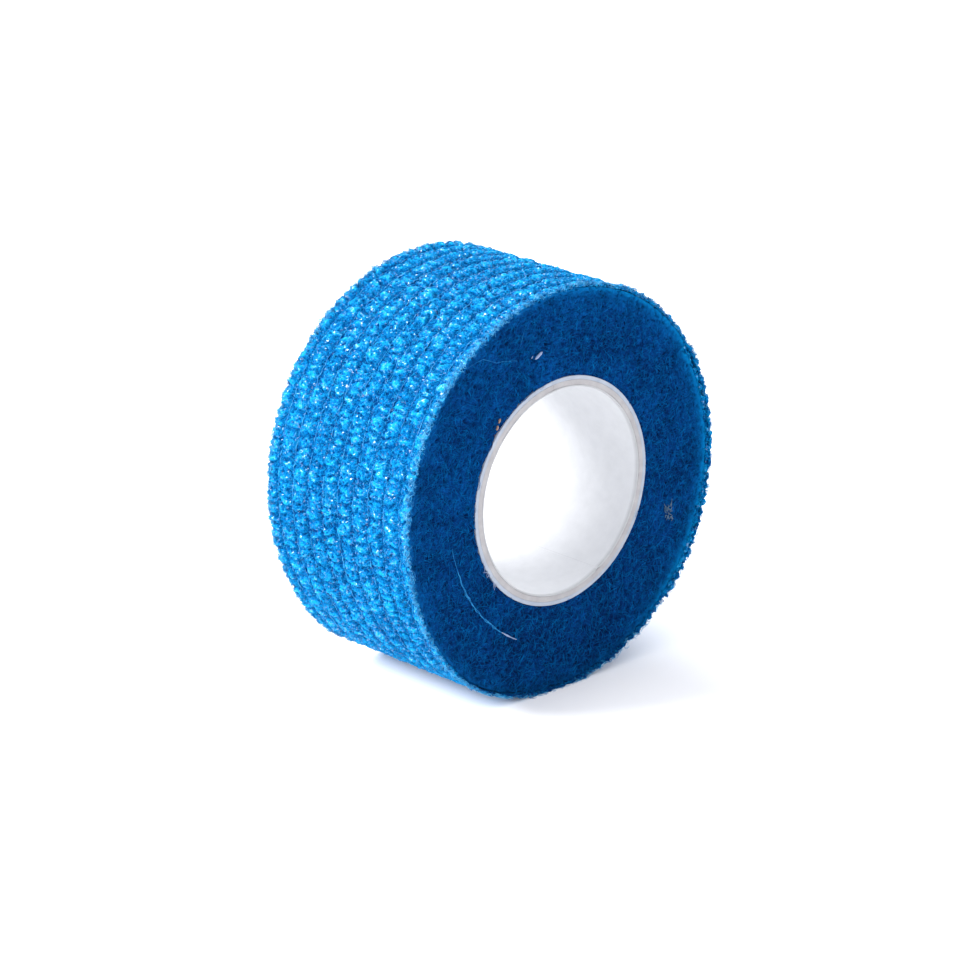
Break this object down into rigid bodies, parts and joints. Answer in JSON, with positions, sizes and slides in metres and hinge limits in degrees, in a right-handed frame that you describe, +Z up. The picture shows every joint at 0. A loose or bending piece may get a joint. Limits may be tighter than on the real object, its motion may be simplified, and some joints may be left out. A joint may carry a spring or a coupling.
{
  "type": "hand wrap",
  "caption": "Roll of blue cohesive crinkle bandage for wrapping fingers and hands, wound on a white paper core, with a free tail that peels off the roll.",
  "frame": {"origin": "centre of the core's bore, on the roll's axis, halfway along its width", "axes": "+Y along the roll's axis, away from the front face; +Z up, the roll stands on its rim; +X towards the side that carries the tail"},
  "size_m": [0.0523, 0.025, 0.0519],
  "materials": {
    "bandage_web": "matte",
    "elastic_yarn": "satin",
    "core_liner_paper": "matte",
    "core_board": "matte",
    "core_outer_paper": "matte",
    "core_glue": "satin"
  },
  "bodies": {
    "roll": {"core_inner_liner": "core_liner_paper", "core_board_ply": "core_board", "core_outer_ply": "core_outer_paper", "core_glue_strip": "core_glue", "inner_web": "bandage_web", "outer_web": "bandage_web", "elastic_yarn_01": "elastic_yarn", "elastic_yarn_02": "elastic_yarn", "elastic_yarn_03": "elastic_yarn", "elastic_yarn_04": "elastic_yarn", "elastic_yarn_05": "elastic_yarn", "elastic_yarn_06": "elastic_yarn", "elastic_yarn_07": "elastic_yarn", "elastic_yarn_08": "elastic_yarn", "elastic_yarn_09": "elastic_yarn"},
    "tail_1": {"tail_1_inner_web": "bandage_web", "tail_1_outer_web": "bandage_web", "tail_1_yarns": "elastic_yarn"},
    "tail_2": {"tail_2_inner_web": "bandage_web", "tail_2_outer_web": "bandage_web", "tail_2_yarns": "elastic_yarn"},
    "tail_3": {"tail_3_inner_web": "bandage_web", "tail_3_outer_web": "bandage_web", "tail_3_yarns": "elastic_yarn"},
    "tail_4": {"tail_4_inner_web": "bandage_web", "tail_4_outer_web": "bandage_web", "tail_4_yarns": "elastic_yarn"}
  },
  "joints": [
    {"name": "tail_root_hinge", "type": "hinge", "parent": "roll", "child": "tail_1", "pos_m": [0.02382, 0, 0.01111], "axis": [0, -1, 0], "range_deg": [0, 45]},
    {"name": "tail_second_hinge", "type": "hinge", "parent": "tail_1", "child": "tail_2", "pos_m": [0.02609, 0, 0.00343], "axis": [0, -1, 0], "range_deg": [0, 45]},
    {"name": "tail_third_hinge", "type": "hinge", "parent": "tail_2", "child": "tail_3", "pos_m": [0.02594, 0, -0.00457], "axis": [0, -1, 0], "range_deg": [0, 45]},
    {"name": "tail_tip_hinge", "type": "hinge", "parent": "tail_3", "child": "tail_4", "pos_m": [0.02339, 0, -0.01218], "axis": [0, -1, 0], "range_deg": [0, 45]}
  ]
}
